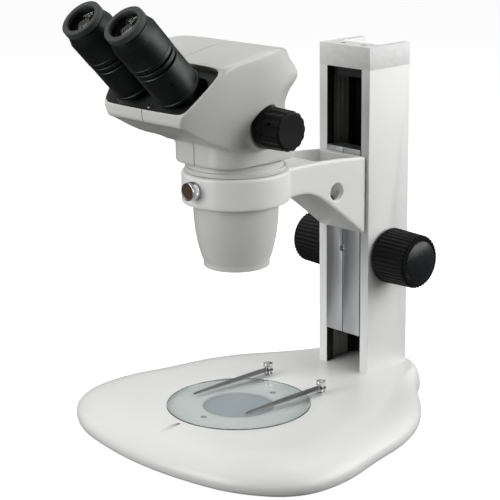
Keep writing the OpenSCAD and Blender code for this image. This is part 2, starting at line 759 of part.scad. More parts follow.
// half sections of the housing's sides at one height: corner points from front to rear
function side_half(z, front_x, mid_x, rear_x, rear_y, inset) =
    [for (p = [[0, -115], [front_x, -112], [front_x + (mid_x - front_x) * 0.75, -84],
               [mid_x, -60], [mid_x, -6], [rear_x + (mid_x - rear_x) * 0.45, rear_y * 0.62],
               [rear_x, rear_y], [0, rear_y + 3]])
     [p[0] == 0 ? 0 : p[0] - inset, p[1] < 0 ? p[1] : p[1] - inset]];
function side_ring(z, front_x, mid_x, rear_x, rear_y, inset) =
    let (h = side_half(z, front_x, mid_x, rear_x, rear_y, inset))
    [for (p = cut(concat(h, mirror_x(h)), 2)) [p[0], p[1], z]];

module housing_sides(inset) {
    loft([side_ring(262, 34, 40, 26, 48, inset),
          side_ring(277, 38, 42, 27, 56, inset),
          side_ring(290, 42, 47, 28, 68, inset),
          side_ring(300, 45, 52, 27, 66, inset),
          side_ring(312, 48, 57, 28, 74, inset),
          side_ring(325, 51, 61, 29, 81, inset),
          side_ring(343, 56, 64, 24, 67, inset),
          side_ring(366, 58, 64, 20, 58, inset)]);
}

// the housing seen from the side, in y and z
function face_point(v) = [tube_y + v * sin(tube_tilt), tube_z + v * cos(tube_tilt)];
function side_view() = cut([[-103.4, 300], [-103.4, 309], face_point(face_v[0]), face_point(face_v[1]),
    [-66, 347.6], [-44, 351], [-12, 357.5], [22, 352.5], [54, 345], [64, 342.5], [67, 338], [80, 324],
    [79, 318], [62, 298], [68, 288], [60, 276], [40, 270], [-40, 270], [-50, 276.5], [-74, 284],
    [-98, 299]], 2);

module housing_outer(inset) {
    intersection() {
        housing_sides(inset);
        translate([-100, 0, 0]) rotate([90, 0, 90]) linear_extrude(200)
            polygon(inset == 0 ? side_view() : [for (p = side_view())
                [-15 + (p[0] + 15) * 0.93, 312 + (p[1] - 312) * 0.925]]);
    }
}

function opening_curve(grow) = cut([for (p = [[-30, -20], [30, -20], [43, -19], [46, -12], [56, 14],
    [56, 24], [40, 25], [-40, 25], [-56, 24], [-56, 14], [-46, -12], [-43, -19]])
    [p[0] + sign(p[0]) * grow, p[1] + sign(p[1]) * grow]], 2);

// a disc-shaped space about the zoom shaft, between two distances from the middle plane
module about_zoom(r, x0, x1) {
    for (t = [-1, 1]) translate([0, zoom_y, zoom_z]) rotate([0, t * 90, 0]) translate([0, 0, x0])
        cylinder(r = r, h = x1 - x0);
}

module housing_half(s) {
    color("gainsboro") on_axis() difference() {
        intersection() {
            union() {
                housing_outer(0);
                translate([0, 0, neck_z + 0.05]) rounded_box(78, 95.4, 24, 27);
                about_zoom(zoom_collar_r + 2, 38, zoom_boss_end);
            }
            translate([s > 0 ? seam_gap : -100 - seam_gap, -150, 200]) cube([100, 300, 200]);
        }
        difference() {
            housing_outer(3.4);
            about_zoom(zoom_collar_r + 4, zoom_boss_end - 4, zoom_boss_end + 7);
        }
        translate([0, 0, neck_z - 1]) rounded_box(72.4, 89.8, 21, 30);
        tube_frame() translate([0, 0, plate_w - 2]) linear_extrude(60) polygon(opening_curve(0));
        tube_frame() translate([0, 0, -16]) linear_extrude(60) polygon(opening_curve(-3));
        about_zoom(6, 0, 90);
        about_zoom(zoom_collar_r + 0.9, zoom_boss_end, 90);
    }
}

module housing_left() { housing_half(-1); }
module housing_right() { housing_half(1); }

// the tube axis sweeps this arc about its pivot when the eye distance changes
arm_x = tube_x - pivot_x;
swing_deg = 28;
function swung(s, a) = [s * (pivot_x + arm_x * cos(a) + pivot_v * sin(a)),
                        pivot_v + arm_x * sin(a) - pivot_v * cos(a)];

module tube_plate() {
    color("#202020") on_axis() tube_frame() difference() {
        union() {
            translate([0, 0, plate_w - 2]) linear_extrude(2) polygon(opening_curve(-0.2));
            for (s = [-1, 1]) translate([s * pivot_x, pivot_v, plate_w - 20]) cylinder(r = pivot_r, h = 19);
        }
        for (s = [-1, 1]) for (a = [0:4:swing_deg]) let (p = swung(s, a))
            translate([p[0], p[1], plate_w - 5]) cylinder(r = neck_r + 0.6, h = 9);
        translate([0, plate_screw_v, plate_w - 5]) cylinder(r = 1.3, h = 9);
    }
}

module plate_screw() {
    color("silver") on_axis() tube_frame() translate([0, plate_screw_v, plate_w + 0.05]) {
        cylinder(r = 2.2, h = 1.2);
        translate([0, 0, -5]) cylinder(r = 1.2, h = 5.5);
    }
}

// ---- zoom drive ----

module zoom_shaft() {
    color("silver") on_axis() translate([0, zoom_y, zoom_z]) rotate([0, 90, 0]) difference() {
        union() {
            translate([0, 0, -72]) cylinder(r = zoom_shaft_r, h = 144);
            translate([0, 0, -24]) cylinder(r = 11, h = 48);
        }
        for (i = [-1, 1]) for (j = [0:11]) rotate([0, 0, 20 * j]) translate([10.4, 0, i * (6 + j)])
            rotate([0, 90, 0]) cylinder(r = 1.6, h = 3);
    }
}

module zoom_knob(s) {
    color("#141414") on_axis() translate([0, zoom_y, zoom_z]) rotate([0, s * 90, 0]) difference() {
        translate([0, 0, zoom_knob_start]) union() {
            cylinder(r1 = zoom_collar_r - 0.8, r2 = zoom_collar_r, h = 0.8);
            translate([0, 0, 0.8]) cylinder(r = zoom_collar_r, h = 4);
            translate([0, 0, 4.8]) cylinder(r1 = zoom_collar_r - 0.3, r2 = zoom_knob_d / 2, h = 23.2);
            translate([0, 0, 28]) cylinder(r1 = zoom_knob_d / 2, r2 = 15.2, h = 2);
        }
        for (i = [0:13]) rotate([0, 0, 360 / 14 * i]) translate([20.4, 0, 57]) cylinder(r = 4.2, h = 40);
        translate([0, 0, 45]) cylinder(r = zoom_shaft_r + 0.02, h = 28);
        rotate([0, 0, 245]) translate([0, 0, 67]) rotate([0, 90, 0]) cylinder(r = 1.5, h = 30);
    }
}

module zoom_knob_left() { zoom_knob(-1); }
module zoom_knob_right() { zoom_knob(1); }

// ---- eye tubes ----

module at_tube(s) {
    on_axis() tube_frame() translate([s * tube_x, 0, 0]) children();
}

module eye_tube(s) {
    color("#1c1c1c") at_tube(s) difference() {
        rotate_extrude($fn = 96) polygon([[11.6, -10], [neck_r, -10], [neck_r, 0.4], [tube_r, 0.4],
            [tube_r + 0.6, 1], [tube_r + 0.6, 3.2], [tube_r, 3.8], [tube_r, tube_end_w - 0.6],
            [tube_r - 0.6, tube_end_w], [sleeve_r, tube_end_w], [sleeve_r, sleeve_end_w],
            [sleeve_bore_r, sleeve_end_w], [sleeve_bore_r, 8], [11.6, 8]]);
        rotate([0, 0, 20]) translate([18, 0, 21]) rotate([0, 90, 0]) cylinder(r = 1.1, h = 5);
    }
}

module tube_left() { eye_tube(-1); }
module tube_right() { eye_tube(1); }

// the prism housing turns with its tube about the stud under the tube plate
module prism(s) {
    color("#303030") at_tube(s) difference() {
        union() {
            translate([0, 0, plate_w - 20]) cylinder(r = neck_r, h = 15.8);
            translate([-8, -8, plate_w - 28]) cube([16, 16, 9]);
            translate([-s * arm_x, pivot_v, plate_w - 19]) cylinder(r = 5.6, h = 14);
            translate([-s * arm_x - 4, 8, plate_w - 19]) cube([8, pivot_v - 8, 14]);
        }
        translate([0, 0, plate_w - 16]) cylinder(r = 10, h = 20);
        translate([0, 0, -10.1]) cylinder(r = neck_r + 1, h = 20);
        translate([-s * arm_x, pivot_v, plate_w - 40]) cylinder(r = pivot_r + fit_gap, h = 60);
    }
}

module prism_left() { prism(-1); }
module prism_right() { prism(1); }

module diopter_ring(s) {
    color("#242424") at_tube(s) translate([0, 0, ring_w0]) rotate_extrude($fn = 96)
        polygon([[sleeve_r + fit_gap, 0], [tube_r - 0.5, 0], [tube_r, 0.5], [tube_r, ring_h - 0.5],
                 [tube_r - 0.5, ring_h], [sleeve_r + fit_gap, ring_h]]);
}

module diopter_ring_left() { diopter_ring(-1); }
module diopter_ring_right() { diopter_ring(1); }

// the eyepiece slides in the tube's sleeve, and its skirt covers the sleeve's end
module eyepiece(s) {
    skirt_r = sleeve_r + move_gap;
    slide_r = sleeve_bore_r - fit_gap;
    color("#1c1c1c") at_tube(s) rotate_extrude($fn = 96) polygon([[12, 14], [slide_r, 14],
        [slide_r, sleeve_end_w + 1.6], [skirt_r, sleeve_end_w + 1.6], [skirt_r, eyepiece_w0],
        [eyepiece_r - 0.7, eyepiece_w0], [eyepiece_r - 0.1, eyepiece_w0 + 0.6],
        [eyepiece_r - 0.1, eyepiece_w0 + 4], [eyepiece_r - 0.4, eyepiece_w0 + 4.4],
        [eyepiece_r - 0.1, eyepiece_w0 + 4.8], [eyepiece_r, chamfer_w], [collar_r + 1, collar_w - 0.2],
        [collar_r, collar_w], [collar_r, tube_len - 4], [14.2, tube_len - 4], [14.2, lens_w - 3.5],
        [12, lens_w - 3.5]]);
}

module eyepiece_left() { eyepiece(-1); }
module eyepiece_right() { eyepiece(1); }

module eye_lens(s) {
    color("thistle", 0.6) at_tube(s) translate([0, 0, lens_w]) lens(14.1, 2, 2.6);
}

module eye_lens_left() { eye_lens(-1); }
module eye_lens_right() { eye_lens(1); }

module eyecup(s) {
    color("#262626") at_tube(s) rotate_extrude($fn = 96) polygon(cup_section);
}

module eyecup_left() { eyecup(-1); }
module eyecup_right() { eyecup(1); }

base_casting();
base_cover();
rubber_feet();
stage_liner();
stage_disc();
base_screws();
plate_lock_screw();
stage_glass();
clip_posts();
clip_left();
clip_right();
clip_screw_left();
clip_screw_right();
column();
column_bolts();
guide_rails();
column_back_liner();
column_cap();
stop_block();
cap_screws();
shaft_bushes();
pinion_shaft();
focus_knob_left();
focus_knob_right();
focus_knob_caps();
carriage();
rack();
carriage_screws();
stop_screw();
arm();
head_clamp_screw();
head_barrel();
bell();
objective_ring();
objective_cell();
objective_lenses();
head_frame();
zoom_guide_rods();
housing_left();
housing_right();
tube_plate();
plate_screw();
zoom_shaft();
zoom_knob_left();
zoom_knob_right();
zoom_lens_upper();
zoom_lens_lower();
tube_left();
tube_right();
prism_left();
prism_right();
diopter_ring_left();
diopter_ring_right();
eyepiece_left();
eyepiece_right();
eye_lens_left();
eye_lens_right();
eyecup_left();
eyecup_right();
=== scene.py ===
"""Looks of the stereo microscope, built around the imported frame.

Shapes are worked out in millimetres in the CAD's own way: y = 0 is the optical axis, and place() turns
them into metres in the shared frame. Each physical piece has its own section.
"""
import json
import math

import bmesh
import bpy
import numpy as np
from mathutils import Matrix, Vector

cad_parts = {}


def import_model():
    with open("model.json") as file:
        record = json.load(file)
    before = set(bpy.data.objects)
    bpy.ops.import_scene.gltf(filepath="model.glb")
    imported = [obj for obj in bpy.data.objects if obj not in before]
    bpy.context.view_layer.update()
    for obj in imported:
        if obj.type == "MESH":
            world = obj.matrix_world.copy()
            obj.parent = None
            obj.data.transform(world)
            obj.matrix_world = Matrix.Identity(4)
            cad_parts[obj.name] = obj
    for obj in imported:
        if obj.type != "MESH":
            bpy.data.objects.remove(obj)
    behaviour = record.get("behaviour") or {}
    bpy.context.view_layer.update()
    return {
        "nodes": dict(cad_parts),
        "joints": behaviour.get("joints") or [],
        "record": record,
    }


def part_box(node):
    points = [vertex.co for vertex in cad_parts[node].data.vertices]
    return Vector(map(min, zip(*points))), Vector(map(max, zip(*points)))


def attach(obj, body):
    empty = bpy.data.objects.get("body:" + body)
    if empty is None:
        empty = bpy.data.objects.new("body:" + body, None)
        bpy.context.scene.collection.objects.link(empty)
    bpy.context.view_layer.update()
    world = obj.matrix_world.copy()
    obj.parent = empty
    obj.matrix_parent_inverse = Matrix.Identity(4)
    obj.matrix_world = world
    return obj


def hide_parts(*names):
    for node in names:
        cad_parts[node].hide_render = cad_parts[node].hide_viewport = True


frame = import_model()

MM = 0.001
JOINTS = {j["name"]: j for j in frame["joints"]}


def middle(node):
    low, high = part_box(node)
    return (low + high) / 2


def low_z(node):
    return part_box(node)[0].z / MM


def high_z(node):
    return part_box(node)[1].z / MM


AXIS_Y = middle("objective_ring").y / MM

# ---- places, in millimetres, that other pieces are worked out from ----

BASE_TOP = low_z("column")
NECK_Z = high_z("head_barrel")
RING_TOP = NECK_Z - 9.2
RING_BOTTOM = RING_TOP - 27.8
BELL_Z = low_z("bell")
BARREL_R = 37.95
ZOOM_Y = JOINTS["zoom_turn"]["pos_m"][1] / MM - AXIS_Y
ZOOM_Z = JOINTS["zoom_turn"]["pos_m"][2] / MM
FOCUS_Y = JOINTS["focus_turn"]["pos_m"][1] / MM - AXIS_Y
FOCUS_Z = JOINTS["focus_turn"]["pos_m"][2] / MM
CLAMP_Z = JOINTS["head_clamp_turn"]["pos_m"][2] / MM
CLIP_Y = JOINTS["clip_left_swing"]["pos_m"][1] / MM - AXIS_Y

TUBE_X = 27
TUBE_TILT = math.radians(46.7)
TUBE_ORIGIN = Vector((0, -86.4, 328.1))
W_AXIS = Vector((0, -math.cos(TUBE_TILT), math.sin(TUBE_TILT)))
V_AXIS = Vector((0, math.sin(TUBE_TILT), math.cos(TUBE_TILT)))


def axes(origin, x, y, z):
    m = Matrix((x, y, z)).transposed().to_4x4()
    m.translation = Vector(origin)
    return m


def along_x(side, y, z):
    """A frame whose +Z runs out along +X or -X, through the middle plane."""
    return axes((0, y, z), (0, 0, -side), (0, 1, 0), (side, 0, 0))


def at_tube(side):
    return axes(TUBE_ORIGIN + Vector((side * TUBE_X, 0, 0)), (1, 0, 0), V_AXIS, W_AXIS)


TUBE_FRAME = axes(TUBE_ORIGIN, (1, 0, 0), V_AXIS, W_AXIS)
UPRIGHT = Matrix.Identity(4)


def at(x, y, z):
    return Matrix.Translation((x, y, z))


def turned(degrees, axis):
    return Matrix.Rotation(math.radians(degrees), 4, axis)


def side_name(stem, side):
    return f"{stem}_{'right' if side > 0 else 'left'}"


# ---- mesh tools ----


def place(points, matrix=UPRIGHT):
    """Millimetres in a local frame to metres in the shared one."""
    p = np.asarray(points, float).reshape(-1, 3)
    m = np.array(matrix)
    p = p @ m[:3, :3].T + m[:3, 3]
    p[:, 1] += AXIS_Y
    return p * MM


def make(name, points, faces, matrix=UPRIGHT):
    mesh = bpy.data.meshes.new(name)
    mesh.from_pydata(place(points, matrix).tolist(), [], faces)
    obj = bpy.data.objects.new(name, mesh)
    bpy.context.scene.collection.objects.link(obj)
    return obj


def bake(obj):
    """Applies an object's modifiers to its own mesh."""
    graph = bpy.context.evaluated_depsgraph_get()
    mesh = bpy.data.meshes.new_from_object(obj.evaluated_get(graph))
    obj.modifiers.clear()
    old = obj.data
    obj.data = mesh
    bpy.data.meshes.remove(old)
    return obj


def combine(obj, tool, operation):
    mod = obj.modifiers.new("combine", "BOOLEAN")
    mod.operation = operation
    mod.solver = "MANIFOLD"
    mod.object = tool
    bake(obj)
    bpy.data.objects.remove(tool)
    return obj


def cut_away(obj, *tools):
    for tool in tools:
        combine(obj, tool, "DIFFERENCE")
    return obj


def soften(obj, voxel, rounds):
    """Remeshes a solid evenly and relaxes it, so that its edges round off as a casting's do."""
    mod = obj.modifiers.new("remesh", "REMESH")
    mod.mode = "VOXEL"
    mod.voxel_size = voxel * MM
    mod = obj.modifiers.new("relax", "SMOOTH")
    mod.factor = 0.5
    mod.iterations = rounds
    return bake(obj)


def shade(obj, sharp_deg=38):
    obj.data.shade_smooth()
    obj.data.set_sharp_from_angle(angle=math.radians(sharp_deg))
    return obj


def outward(obj):
    """Makes every face of a closed mesh look outwards."""
    bm = bmesh.new()
    bm.from_mesh(obj.data)
    bmesh.ops.recalc_face_normals(bm, faces=bm.faces)
    bm.to_mesh(obj.data)
    bm.free()
    return obj


def fillet(points, steps=5):
    """A closed outline of (x, y) or (x, y, radius) corners, with the given corners rounded."""
    out = []
    n = len(points)
    for i, p in enumerate(points):
        corner = np.array(p[:2], float)
        radius = p[2] if len(p) > 2 else 0
        if radius <= 0:
            out.append(corner)
            continue
        a = np.array(points[i - 1][:2], float) - corner
        b = np.array(points[(i + 1) % n][:2], float) - corner
        la, lb = np.linalg.norm(a), np.linalg.norm(b)
        a, b = a / la, b / lb
        half = math.acos(max(-1, min(1, float(a @ b)))) / 2
        reach = min(radius / math.tan(half), 0.49 * la, 0.49 * lb)
        r = reach * math.tan(half)
        bis = (a + b) / np.linalg.norm(a + b)
        middle_of_arc = corner + bis * (r / math.sin(half))
        t0 = corner + a * reach - middle_of_arc
        t1 = corner + b * reach - middle_of_arc
        a0, a1 = math.atan2(t0[1], t0[0]), math.atan2(t1[1], t1[0])
        turn = (a1 - a0 + math.pi) % (2 * math.pi) - math.pi
        for k in range(steps + 1):
            ang = a0 + turn * k / steps
            out.append(middle_of_arc + r * np.array((math.cos(ang), math.sin(ang))))
    return out


def chaikin(points, rounds):
    """Corner cutting: a few corner points become a smooth closed curve."""
    p = np.asarray(points, float)
    for _ in range(rounds):
        q = np.roll(p, -1, axis=0)
        p = np.stack((0.75 * p + 0.25 * q, 0.25 * p + 0.75 * q), 1).reshape(-1, p.shape[1])
    return p


def lathe(name, profile, matrix=UPRIGHT, segments=128, shape=None):
    """Turns a closed (radius, height) outline about Z. shape(r, h, angle) may change each radius."""
    rings, points, faces = [], [], []
    for r, h in profile:
        if r < 1e-6:
            rings.append([len(points)])
            points.append((0, 0, h))
            continue
        start = len(points)
        for i in range(segments):
            a = 2 * math.pi * i / segments
            q = shape(r, h, a) if shape else r
            points.append((q * math.cos(a), q * math.sin(a), h))
        rings.append(list(range(start, start + segments)))
    for j in range(len(rings)):
        a, b = rings[j], rings[(j + 1) % len(rings)]
        if len(a) == 1 and len(b) == 1:
            continue
        for i in range(segments):
            k = (i + 1) % segments
            quad = [a[i % len(a)], a[k % len(a)], b[k % len(b)], b[i % len(b)]]
            faces.append(list(dict.fromkeys(quad)))
    return outward(make(name, points, faces, matrix))


def loft(name, rings, matrix=UPRIGHT):
    """A closed solid through rings of points that all have the same count."""
    n = len(rings[0])
    points = [p for ring in rings for p in ring]
    faces = []
    for j in range(len(rings) - 1):
        for i in range(n):
            k = (i + 1) % n
            faces.append([j * n + i, j * n + k, (j + 1) * n + k, (j + 1) * n + i])
    faces.append(list(range(n))[::-1])
    faces.append([(len(rings) - 1) * n + i for i in range(n)])
    return outward(make(name, points, faces, matrix))


def prism(name, outline, z0, z1, matrix=UPRIGHT):
    return loft(name, [[(p[0], p[1], z) for p in outline] for z in (z0, z1)], matrix)


def rod(radius, z0, z1, matrix=UPRIGHT, segments=96):
    return lathe("tool", [(0, z0), (radius, z0), (radius, z1), (0, z1)], matrix, segments)


def block(low, high):
    (x0, y0, z0), (x1, y1, z1) = low, high
    return prism("tool", [(x0, y0), (x1, y0), (x1, y1), (x0, y1)], z0, z1)


# an outline drawn in this frame is in y and z, and is drawn out along x
SIDE_ON = axes((0, 0, 0), (0, 1, 0), (0, 0, 1), (1, 0, 0))


def joined(name, objs):
    """Several closed solids as the one mesh of a piece."""
    bm = bmesh.new()
    for o in objs:
        bm.from_mesh(o.data)
    mesh = bpy.data.meshes.new(name)
    bm.to_mesh(mesh)
    bm.free()
    for o in objs:
        bpy.data.objects.remove(o)
    obj = bpy.data.objects.new(name, mesh)
    bpy.context.scene.collection.objects.link(obj)
    return obj


def from_cad(name, node, width, segments=3, angle_deg=30):
    """A copy of a CAD node whose edges are broken by a small round."""
    bm = bmesh.new()
    bm.from_mesh(frame["nodes"][node].data)
    bmesh.ops.remove_doubles(bm, verts=bm.verts, dist=1e-6)
    bmesh.ops.dissolve_limit(bm, angle_limit=math.radians(0.5), verts=bm.verts, edges=bm.edges)
    bmesh.ops.recalc_face_normals(bm, faces=bm.faces)
    limit = math.radians(angle_deg)
    sharp = [e for e in bm.edges if len(e.link_faces) == 2 and e.calc_face_angle(0) > limit]
    bmesh.ops.bevel(bm, geom=sharp, offset=width * MM, segments=segments, profile=0.5,
                    affect="EDGES", clamp_overlap=True)
    mesh = bpy.data.meshes.new(name)
    bm.to_mesh(mesh)
    bm.free()
    obj = bpy.data.objects.new(name, mesh)
    bpy.context.scene.collection.objects.link(obj)
    return obj


# ---- materials ----


class Shader:
    """A Principled material whose colour, roughness and surface come from its nodes."""

    def __init__(self, name, colour, rough, metal=0.0):
        self.mat = bpy.data.materials.new(name)
        self.mat.use_nodes = True
        self.tree = self.mat.node_tree
        self.bsdf = next(n for n in self.tree.nodes if n.type == "BSDF_PRINCIPLED")
        self.colour, self.rough = colour, rough
        self.bsdf.inputs["Base Color"].default_value = (*colour, 1)
        self.bsdf.inputs["Roughness"].default_value = rough
        self.bsdf.inputs["Metallic"].default_value = metal
        self.coords = self.node("ShaderNodeTexCoord").outputs["Object"]

    def node(self, kind, **values):
        n = self.tree.nodes.new(kind)
        for key, value in values.items():
            if hasattr(n, key):
                setattr(n, key, value)
            else:
                n.inputs[key].default_value = value
        return n

    def link(self, a, b):
        self.tree.links.new(a, b)

    def stretched(self, scale):
        n = self.node("ShaderNodeMapping")
        n.inputs["Scale"].default_value = scale
        self.link(self.coords, n.inputs["Vector"])
        return n.outputs["Vector"]

    def noise(self, size_mm, detail=2.0, stretch=None):
        n = self.node("ShaderNodeTexNoise")
        n.inputs["Scale"].default_value = 1 / (size_mm * MM)
        n.inputs["Detail"].default_value = detail
        self.link(self.stretched(stretch) if stretch else self.coords, n.inputs["Vector"])
        return n.outputs["Fac"]

    def ranged(self, value, low, high, to_low, to_high):
        n = self.node("ShaderNodeMapRange")
        for key, v in zip(("From Min", "From Max", "To Min", "To Max"), (low, high, to_low, to_high)):
            n.inputs[key].default_value = v
        self.link(value, n.inputs["Value"])
        return n.outputs["Result"]

    def vary_colour(self, size_mm, amount, stretch=None):
        n = self.node("ShaderNodeMix", data_type="RGBA")
        dark = [c * (1 - amount) for c in self.colour]
        light = [min(1, c * (1 + amount)) for c in self.colour]
        n.inputs[6].default_value = (*dark, 1)
        n.inputs[7].default_value = (*light, 1)
        self.link(self.noise(size_mm, 4, stretch), n.inputs[0])
        self.link(n.outputs[2], self.bsdf.inputs["Base Color"])
        return self

    def vary_rough(self, size_mm, amount, stretch=None):
        value = self.noise(size_mm, 3, stretch)
        out = self.ranged(value, 0.3, 0.7, self.rough - amount, self.rough + amount)
        self.link(out, self.bsdf.inputs["Roughness"])
        return self

    def bump(self, height_mm, value, last=None):
        n = self.node("ShaderNodeBump")
        n.inputs["Strength"].default_value = 1
        n.inputs["Distance"].default_value = height_mm * MM
        self.link(value, n.inputs["Height"])
        if last is not None:
            self.link(last, n.inputs["Normal"])
        self.link(n.outputs["Normal"], self.bsdf.inputs["Normal"])
        return n.outputs["Normal"]

    def set(self, **values):
        for key, value in values.items():
            self.bsdf.inputs[key.replace("_", " ")].default_value = value
        return self


def paint(name, colour, rough=0.34):
    s = Shader(name, colour, rough).vary_colour(30, 0.012).vary_rough(40, 0.015)
    peel = s.bump(0.005, s.noise(1.8, 2))
    s.bump(0.001, s.noise(0.4, 2), peel)
    return s.set(Coat_Weight=0.12, Coat_Roughness=0.25).mat


def plastic(name, colour, rough, grain_mm, height_mm, gloss=0.5):
    s = Shader(name, colour, rough).vary_colour(6, 0.12).vary_rough(3, 0.05)
    s.bump(height_mm, s.noise(grain_mm, 3))
    return s.set(Specular_IOR_Level=gloss).mat


def metal(name, colour, rough, stretch, height_mm=0.002):
    s = Shader(name, colour, rough, 1.0).vary_colour(4, 0.04, stretch).vary_rough(2, 0.06, stretch)
    s.bump(height_mm, s.noise(0.5, 3, stretch))
    return s.mat


WHITE = paint("white_paint", (0.80, 0.80, 0.79))
GREY = paint("grey_paint", (0.62, 0.625, 0.595), 0.30)
CAP_PLASTIC = plastic("white_plastic", (0.76, 0.76, 0.755), 0.42, 0.5, 0.004)
SATIN_BLACK = metal("black_tube", (0.042, 0.046, 0.045), 0.42, (1, 1, 1), 0.003)
KNOB_BLACK = plastic("black_knob", (0.005, 0.0055, 0.0055), 0.40, 0.45, 0.006, 0.14)
CAP_BLACK = plastic("black_cap", (0.010, 0.011, 0.012), 0.30, 0.8, 0.001, 0.35)
PLATE_BLACK = plastic("black_plate", (0.010, 0.012, 0.011), 0.55, 0.4, 0.006)
# black for the liner inside the column and the slot faces: painted shade in the column's channel
LINER_SHADE_BLACK = plastic("black_liner", (0.008, 0.008, 0.009), 0.6, 0.6, 0.006)
RAIL_GREY = plastic("rail_grey", (0.30, 0.30, 0.285), 0.42, 0.7, 0.004)
RUBBER = plastic("rubber", (0.040, 0.042, 0.043), 0.72, 0.35, 0.012)
ALUMINIUM = metal("satin_aluminium", (0.50, 0.51, 0.52), 0.38, (1, 1, 0.02))
CHROME = metal("chrome", (0.66, 0.66, 0.67), 0.12, (1, 1, 1), 0.0005)
STEEL = metal("steel", (0.42, 0.43, 0.45), 0.30, (0.05, 1, 1))
DARK_STEEL = metal("spring_steel", (0.16, 0.165, 0.16), 0.30, (1, 0.05, 1))
BLACK_STEEL = metal("black_steel", (0.05, 0.05, 0.05), 0.40, (1, 1, 1))
BRASS = metal("brass", (0.60, 0.44, 0.20), 0.30, (0.05, 1, 1))
BRONZE = metal("bronze_face", (0.20, 0.13, 0.09), 0.34, (1, 1, 1))
DOT_WHITE = plastic("index_white", (0.75, 0.75, 0.73), 0.5, 0.3, 0.002)


def glass(name, colour, rough):
    s = Shader(name, colour, rough).vary_rough(20, 0.004)
    s.bump(0.0005, s.noise(8, 2))
    return s.set(Transmission_Weight=1.0, IOR=1.5).mat


GLASS = glass("stage_glass", (0.66, 0.70, 0.69), 0.012)
GLASS_EDGE = glass("glass_edge", (0.50, 0.78, 0.68), 0.10)
LENS = glass("coated_lens", (0.70, 0.72, 0.66), 0.02)
FROSTED = plastic("frosted_disc", (0.38, 0.42, 0.45), 0.45, 0.6, 0.010)

SLOT_MATERIAL = {
    "white_paint": WHITE, "grey_paint": GREY, "white_plastic": CAP_PLASTIC, "black_steel": BLACK_STEEL,
    "rubber": RUBBER, "frosted": FROSTED, "chrome": CHROME, "stage_glass": GLASS,
    "spring_steel": DARK_STEEL, "rail_grey": RAIL_GREY, "black_liner": LINER_SHADE_BLACK, "brass": BRASS,
    "steel": STEEL, "satin_aluminium": ALUMINIUM, "black_knob": KNOB_BLACK, "black_cap": CAP_BLACK,
    "black_tube": SATIN_BLACK, "black_plate": PLATE_BLACK, "coated_glass": LENS,
}
BODY_OF = {n: b for b, ns in frame["record"]["behaviour"]["bodies"].items() for n in ns}
SLOT_OF = {s["node"]: s["material_slot"] for s in frame["record"]["subparts"]}


def dress(obj, node, sharp_deg=38, material=None, replace=True):
    """Finishes a piece: shading, material, the body it rides on and the CAD node it stands for."""
    shade(obj, sharp_deg)
    obj.data.materials.clear()
    obj.data.materials.append(material or SLOT_MATERIAL[SLOT_OF[node]])
    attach(obj, BODY_OF[node])
    if replace:
        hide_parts(node)
    return obj


# ---- base casting ----

OUTLINE_HALF = [(0, -121), (56, -116), (106, -104), (149, -72), (156, -22), (143, 30),
                (136, 72), (120, 112), (92, 148), (64, 172), (44, 205), (0, 205)]
BASE_MID_Y = 20
RIM_Z = 8
UNDER_Z = 2
SHOULDER_FRONT, SHOULDER_REAR = 44, 5
PLATE_R = 65.5
WELL_R = PLATE_R + 0.3
SEAT_Z = BASE_TOP - 4.7
LINER_T, DISC_T = 2.5, 3
DISC_R = 37.3
BASE_STEPS = 360
COLUMN_BOLTS = ((-26.6, 142.5), (26.6, 142.5), (-22, 187.8), (22, 187.8))
BOSS_TOP = 16
LOCK_TILT = math.radians(7)
CLIP_X = 35


def mirrored(half):
    return list(half) + [(-x, y) for x, y in half[-2:0:-1]]


def base_radii():
    """Distance from the base's middle to its outline at each angle, counted from the front."""
    p = chaikin(mirrored(OUTLINE_HALF), 5)
    x, y = p[:, 0], p[:, 1] - BASE_MID_Y
    angle = np.degrees(np.arctan2(x, -y)) % 360
    order = np.argsort(angle)
    steps = np.arange(BASE_STEPS) * 360 / BASE_STEPS
    return np.interp(steps, angle[order], np.hypot(x, y)[order], period=360)


RADII = base_radii()
STEP_DEG = np.arange(BASE_STEPS) * 360 / BASE_STEPS


def shoulder():
    """How far the rounded shoulder reaches in from the outline: far in front, little behind the column."""
    a = np.where(STEP_DEG > 180, 360 - STEP_DEG, STEP_DEG)
    u = np.clip((a - 136) / 38, 0, 1)
    return SHOULDER_FRONT + (SHOULDER_REAR - SHOULDER_FRONT) * u * u * (3 - 2 * u)


def base_ring(inset_part, inset, z):
    """The outline at one height, drawn in by a part of the shoulder and by a fixed inset."""
    r = RADII - shoulder() * inset_part - inset
    s, c = np.sin(np.radians(STEP_DEG)), np.cos(np.radians(STEP_DEG))
    return np.stack((r * s, BASE_MID_Y - r * c, np.full(BASE_STEPS, float(z))), 1)


def circle_ring(radius, z):
    """The points of a circle about the optical axis, on the same rays as the base's rings."""
    s, c = np.sin(np.radians(STEP_DEG)), -np.cos(np.radians(STEP_DEG))
    along = BASE_MID_Y * c
    t = -along + np.sqrt(along ** 2 - BASE_MID_Y ** 2 + radius ** 2)
    return np.stack((t * s, BASE_MID_Y + t * c, np.full(BASE_STEPS, float(z))), 1)


